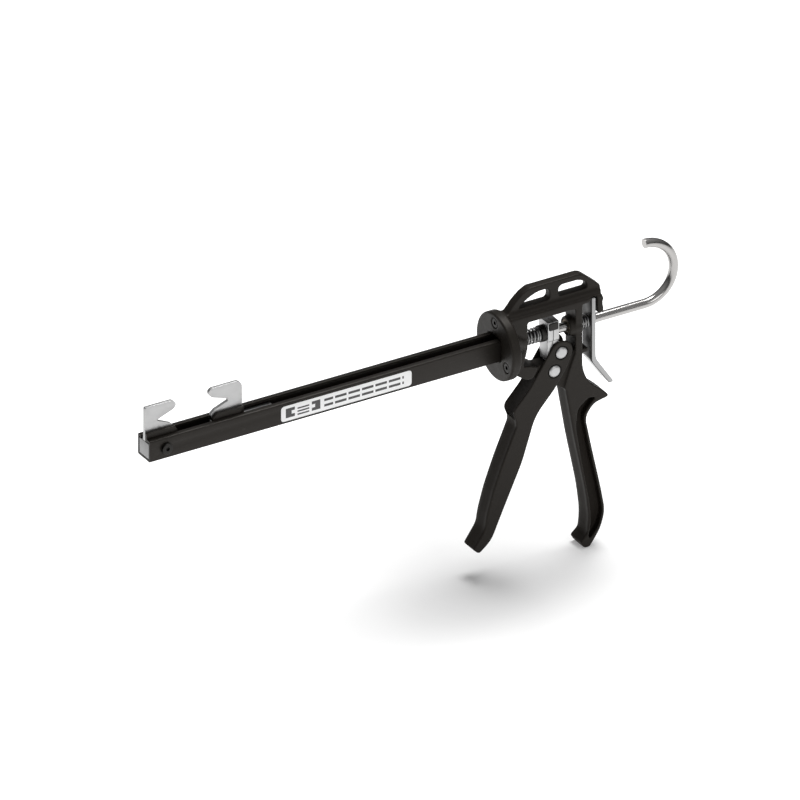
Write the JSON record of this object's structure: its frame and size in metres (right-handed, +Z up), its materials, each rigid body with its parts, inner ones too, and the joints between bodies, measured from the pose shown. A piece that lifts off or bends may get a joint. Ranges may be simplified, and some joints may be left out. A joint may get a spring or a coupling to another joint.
{
  "type": "caulking gun",
  "caption": "Pistol-grip ratchet gun with a hooked push rod that drives a moving hook plate along a slotted square tube towards a fixed hook plate.",
  "frame": {"origin": "centre of the bounding box, at the foot of the handle", "axes": "+X along the rod from the tube's front end to the rod's hooked end, +Z up, +Y towards the far side"},
  "size_m": [0.4962, 0.0584, 0.2623],
  "materials": {
    "black_casting": "semi-gloss black paint on a casting",
    "black_painted_steel": "semi-gloss black paint",
    "dark_steel": "blackened",
    "bush_bronze": "sintered",
    "block_alloy": "machined",
    "bright_steel": "zinc plated, satin",
    "rod_chrome": "polished",
    "white_label": "printed film"
  },
  "bodies": {
    "casting": {"pistol_frame": "black_casting", "frame_set_screw": "dark_steel", "front_bush": "bush_bronze", "rear_bush": "bush_bronze", "adapter_flange": "black_casting", "flange_screw_1": "dark_steel", "flange_screw_2": "dark_steel", "flange_screw_3": "dark_steel", "slotted_tube": "black_painted_steel", "tube_label": "white_label", "anchor_block": "block_alloy", "front_hook": "bright_steel", "front_hook_cheek": "black_painted_steel", "anchor_screw": "dark_steel", "pivot_rivet": "bright_steel", "drive_spring": "dark_steel", "release_spring": "dark_steel"},
    "trigger": {"trigger": "black_casting", "pusher_rivet": "bright_steel", "pusher_roller": "bright_steel"},
    "drive": {"drive_plate_front": "bright_steel", "drive_plate_rear": "bright_steel", "plate_clip": "dark_steel", "spring_collar": "dark_steel"},
    "rod": {"push_rod": "rod_chrome", "slide_block": "block_alloy", "rod_end_pin": "bright_steel", "moving_hook": "bright_steel", "moving_hook_cheek": "black_painted_steel", "moving_hook_pin": "bright_steel"},
    "release": {"release_lever": "bright_steel"}
  },
  "joints": [
    {"name": "trigger_squeeze", "type": "hinge", "parent": "casting", "child": "trigger", "pos_m": [0.12892, 0, 0.1701], "axis": [0, -1, 0], "range_deg": [0, 25], "stiffness_Nm_per_rad": 1, "springref_deg": -17.19},
    {"name": "drive_feed", "type": "slide", "parent": "casting", "child": "drive", "axis": [-1, 0, 0], "range_m": [0, 0.007], "deforming": ["drive_spring"]},
    {"name": "rod_slide", "type": "slide", "parent": "casting", "child": "rod", "axis": [1, 0, 0], "range_m": [-0.028, 0.195]},
    {"name": "release_press", "type": "hinge", "parent": "casting", "child": "release", "pos_m": [0.16562, 0, 0.2268], "axis": [0, 1, 0], "range_deg": [0, 4], "stiffness_Nm_per_rad": 1, "springref_deg": -5.73, "deforming": ["release_spring"]}
  ],
  "couplings": [
    {"joint": "drive_feed", "follows": "trigger_squeeze", "m_per_rad": 0.016}
  ]
}
